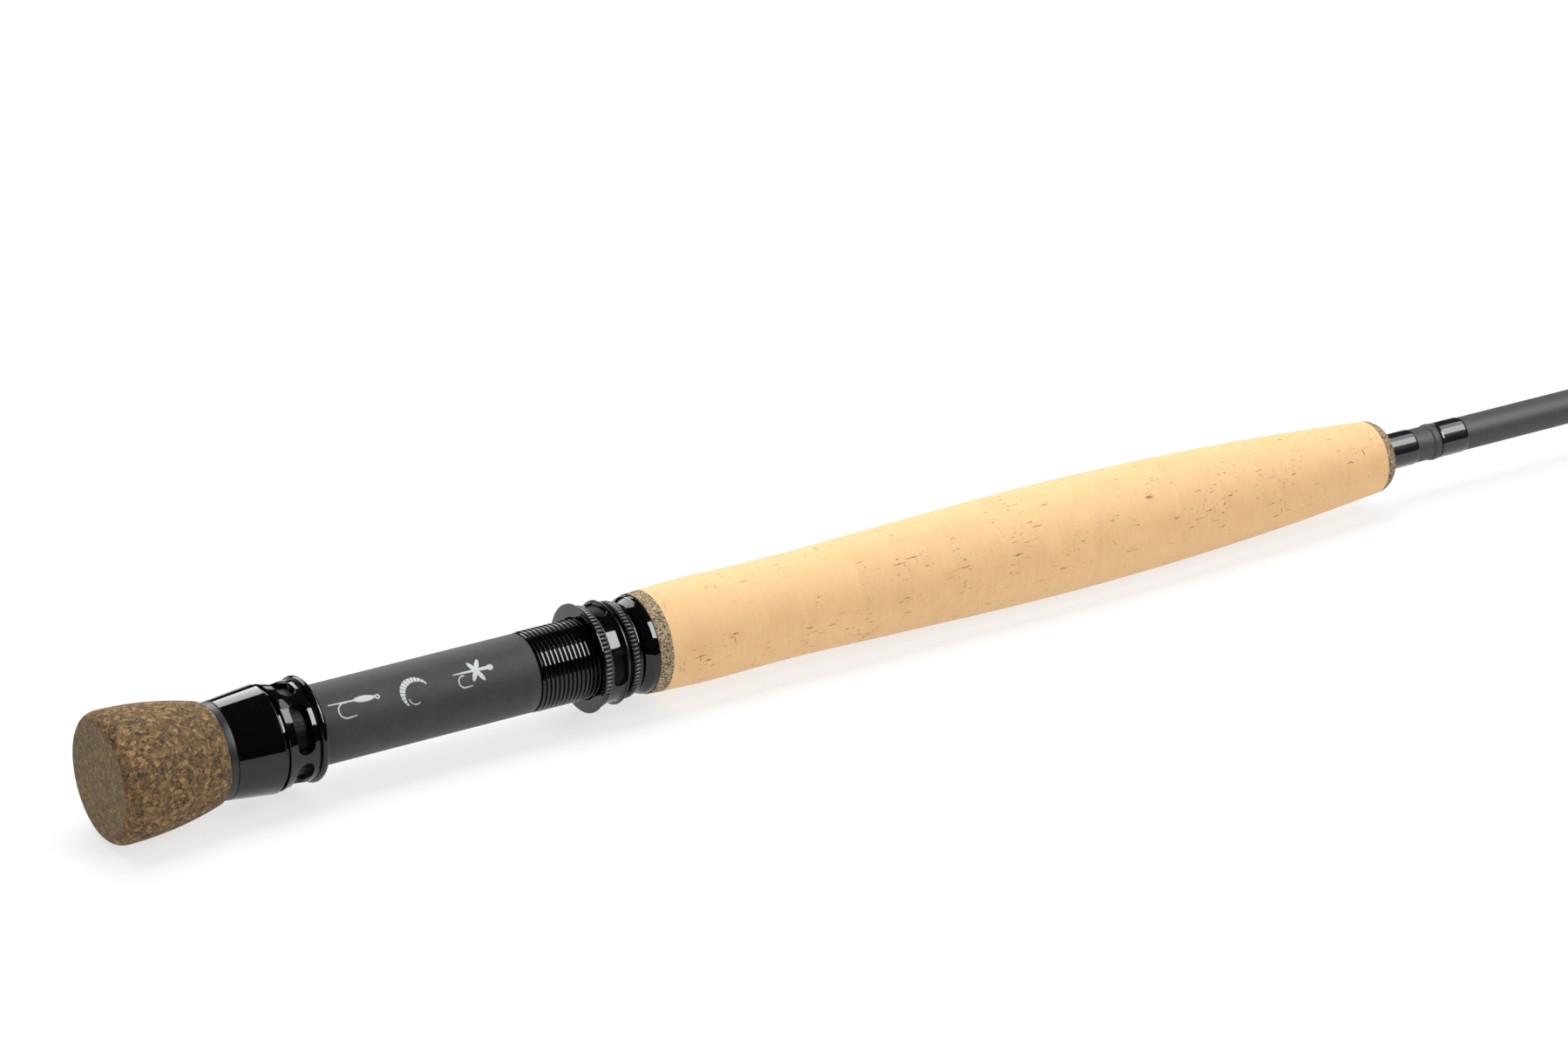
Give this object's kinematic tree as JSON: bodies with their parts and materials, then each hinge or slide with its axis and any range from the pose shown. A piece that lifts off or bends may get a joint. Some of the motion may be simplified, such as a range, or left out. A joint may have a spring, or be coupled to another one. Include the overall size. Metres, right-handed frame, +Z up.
{
  "type": "fly rod handle with reel seat",
  "caption": "Fly rod handle with a fighting butt, a screw-locking reel seat, a shaped cork grip and a plug-in ferruled section.",
  "frame": {"origin": "centre of the flat end face of the fighting butt, on the rod's axis", "axes": "+X along the rod from the butt to the tip, +Z up as the rod lies on its side, -Y towards the side the reel foot's bed is turned to"},
  "size_m": [0.5, 0.0294, 0.0294],
  "materials": {
    "burl_cork": "sanded composite cork with dark flecks",
    "matt_grey": "matt dark grey",
    "black_anodised": "gloss black anodised",
    "carbon_barrel": "matt carbon composite with light printed figures",
    "black_nylon": "black nylon",
    "rubber_cork": "mottled rubber and cork composite",
    "cork": "sanded natural cork with filled pits",
    "foam_arbor": "raw rigid foam",
    "carbon_tube": "satin dark grey carbon composite",
    "gloss_binding": "black thread under gloss varnish",
    "satin_ferrule": "satin dark grey carbon composite"
  },
  "bodies": {
    "handle": {"butt_cap": "black_anodised", "butt_ring": "matt_grey", "cork_ring_01": "cork", "cork_ring_02": "cork", "cork_ring_03": "cork", "cork_ring_04": "cork", "cork_ring_05": "cork", "cork_ring_06": "cork", "cork_ring_07": "cork", "cork_ring_08": "cork", "cork_ring_09": "cork", "cork_ring_10": "cork", "cork_ring_11": "cork", "cork_ring_12": "cork", "cork_ring_13": "cork", "cork_ring_14": "cork", "cork_ring_15": "cork", "cork_ring_16": "cork", "fighting_butt": "burl_cork", "fixed_hood": "black_anodised", "front_trim_ring": "rubber_cork", "handle_binding": "gloss_binding", "handle_ferrule": "satin_ferrule", "handle_tube": "carbon_tube", "rear_trim_ring": "rubber_cork", "seat_arbor_1": "foam_arbor", "seat_arbor_2": "foam_arbor", "seat_arbor_3": "foam_arbor", "seat_arbor_4": "foam_arbor", "seat_barrel": "carbon_barrel", "seat_collar": "black_anodised", "threaded_sleeve": "black_anodised"},
    "sliding_hood": {"sliding_hood": "black_anodised"},
    "locking_nut": {"locking_nut": "black_anodised", "slip_washer": "black_nylon"},
    "jam_nut": {"jam_nut": "black_anodised"},
    "plug_in_section": {"male_ferrule": "satin_ferrule", "section_blank": "carbon_tube", "male_binding": "gloss_binding", "front_ferrule": "satin_ferrule", "front_binding": "gloss_binding"}
  },
  "joints": [
    {"name": "locking_nut_spin", "type": "hinge", "parent": "sliding_hood", "child": "locking_nut", "pos_m": [0.1198, 0, 0], "axis": [-1, 0, 0], "range_deg": [0, 5400]},
    {"name": "jam_nut_spin", "type": "hinge", "parent": "sliding_hood", "child": "jam_nut", "pos_m": [0.127, 0, 0], "axis": [-1, 0, 0], "range_deg": [0, 5400]},
    {"name": "hood_slide", "type": "slide", "parent": "handle", "child": "sliding_hood", "axis": [-1, 0, 0], "range_m": [0, 0.0166]},
    {"name": "section_pull", "type": "slide", "parent": "handle", "child": "plug_in_section", "axis": [1, 0, 0], "range_m": [0, 0.06]}
  ],
  "couplings": [
    {"joint": "hood_slide", "follows": "locking_nut_spin", "m_per_rad": 0.00017507}
  ]
}
